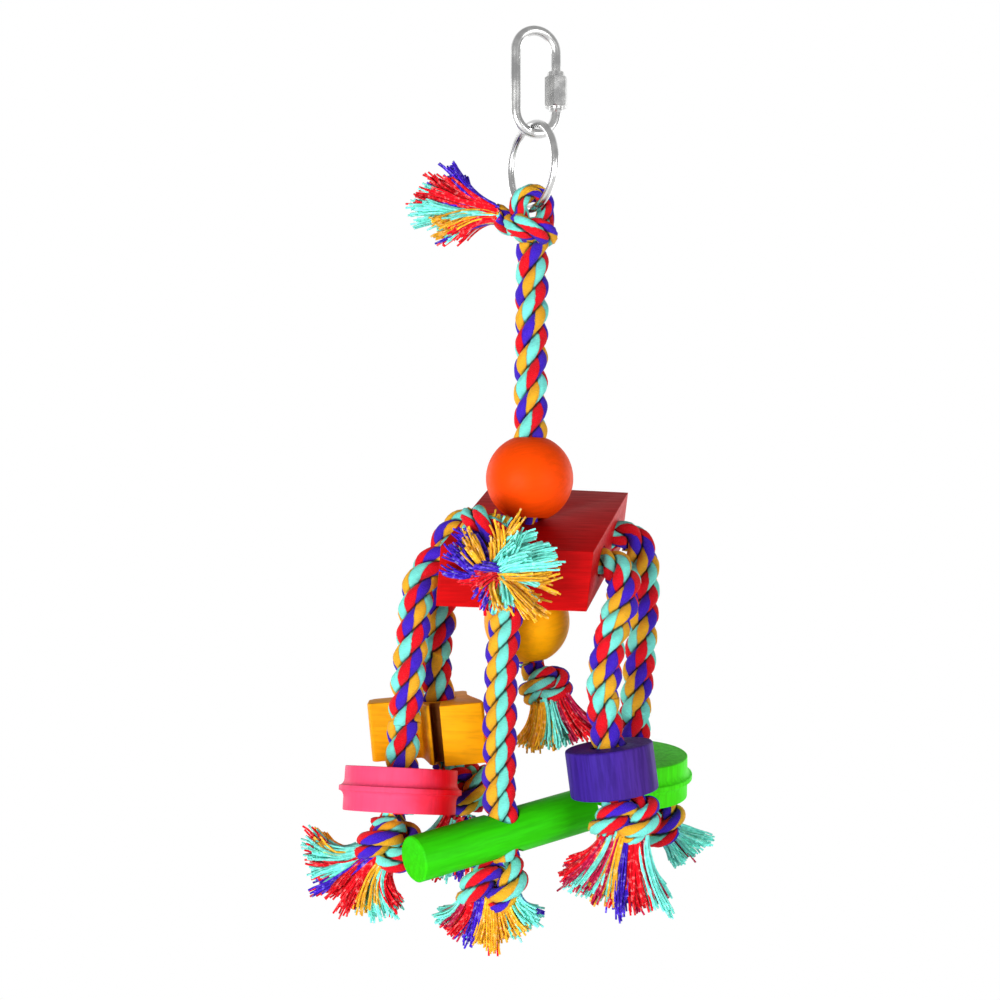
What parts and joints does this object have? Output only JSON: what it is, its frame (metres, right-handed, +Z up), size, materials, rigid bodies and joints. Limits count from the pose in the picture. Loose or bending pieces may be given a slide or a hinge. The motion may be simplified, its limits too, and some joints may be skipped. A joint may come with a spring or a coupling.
{
  "type": "bird toy",
  "caption": "Hanging bird toy: a screw link and ring on a knotted multicolour rope, with beads, a wooden block and rope legs ending in wooden shapes and frayed knots.",
  "frame": {"origin": "inside top of the screw link, where it hangs from a bar", "axes": "+Z up, +X right and +Y away as the picture sees it"},
  "size_m": [0.1192, 0.0762, 0.2608],
  "materials": {
    "steel": "bright plated",
    "rope": "multicolour cotton, laid",
    "orange_wood": "dyed satin",
    "yellow_wood": "dyed satin",
    "red_wood": "dyed satin",
    "pink_wood": "dyed satin",
    "purple_wood": "dyed satin",
    "green_wood": "dyed satin"
  },
  "bodies": {
    "link": {"quick_link": "steel"},
    "nut": {"link_nut": "steel"},
    "ring": {"ring": "steel"},
    "rope": {"main_rope": "rope", "left_front_rope": "rope", "left_back_rope": "rope", "right_front_rope": "rope", "right_back_rope": "rope", "front_rope": "rope", "ring_knot": "rope", "main_knot": "rope", "red_block": "red_wood", "left_front_knot": "rope", "left_back_knot": "rope", "right_front_knot": "rope", "right_back_knot": "rope", "dowel_knot": "rope", "front_top_knot": "rope"},
    "orange_bead": {"orange_bead": "orange_wood"},
    "yellow_bead": {"yellow_bead": "yellow_wood"},
    "pink_disc": {"pink_disc": "pink_wood"},
    "notched_block": {"notched_block": "yellow_wood"},
    "purple_disc": {"purple_disc": "purple_wood"},
    "green_disc": {"green_disc": "green_wood"},
    "green_dowel": {"green_dowel": "green_wood"}
  },
  "joints": [
    {"name": "nut_travel", "type": "slide", "parent": "link", "child": "nut", "axis": [0, 0, 1], "range_m": [0, 0.0052]},
    {"name": "ring_swing", "type": "hinge", "parent": "link", "child": "ring", "pos_m": [-0.00083, -0.0003, -0.02794], "axis": [0.9397, 0.342, 0], "range_deg": [-30, 30]},
    {"name": "rope_swing", "type": "hinge", "parent": "ring", "child": "rope", "pos_m": [-0.001, 0, -0.04948], "axis": [0.5, -0.866, 0], "range_deg": [-20, 20]},
    {"name": "orange_bead_lift", "type": "slide", "parent": "rope", "child": "orange_bead", "axis": [0.0154, 0.0507, 0.9986], "range_m": [0, 0.048]},
    {"name": "yellow_bead_spin", "type": "hinge", "parent": "rope", "child": "yellow_bead", "pos_m": [-0.0025, 0.0072, -0.1678], "axis": [-0.0698, 0, 0.9976], "continuous": true},
    {"name": "pink_disc_spin", "type": "hinge", "parent": "rope", "child": "pink_disc", "pos_m": [-0.038, -0.012, -0.2134], "axis": [0.0481, 0.1737, 0.9836], "continuous": true},
    {"name": "notched_block_lift", "type": "slide", "parent": "rope", "child": "notched_block", "axis": [-0.0923, -0.0349, 0.9951], "range_m": [0, 0.01]},
    {"name": "purple_disc_lift", "type": "slide", "parent": "rope", "child": "purple_disc", "axis": [-0.1305, 0, 0.9914], "range_m": [0, 0.01]},
    {"name": "green_disc_lift", "type": "slide", "parent": "rope", "child": "green_disc", "axis": [0, -0.1219, 0.9925], "range_m": [0, 0.007]},
    {"name": "green_dowel_lift", "type": "slide", "parent": "rope", "child": "green_dowel", "axis": [-0.0983, -0.0691, 0.9928], "range_m": [0, 0.0025]}
  ]
}
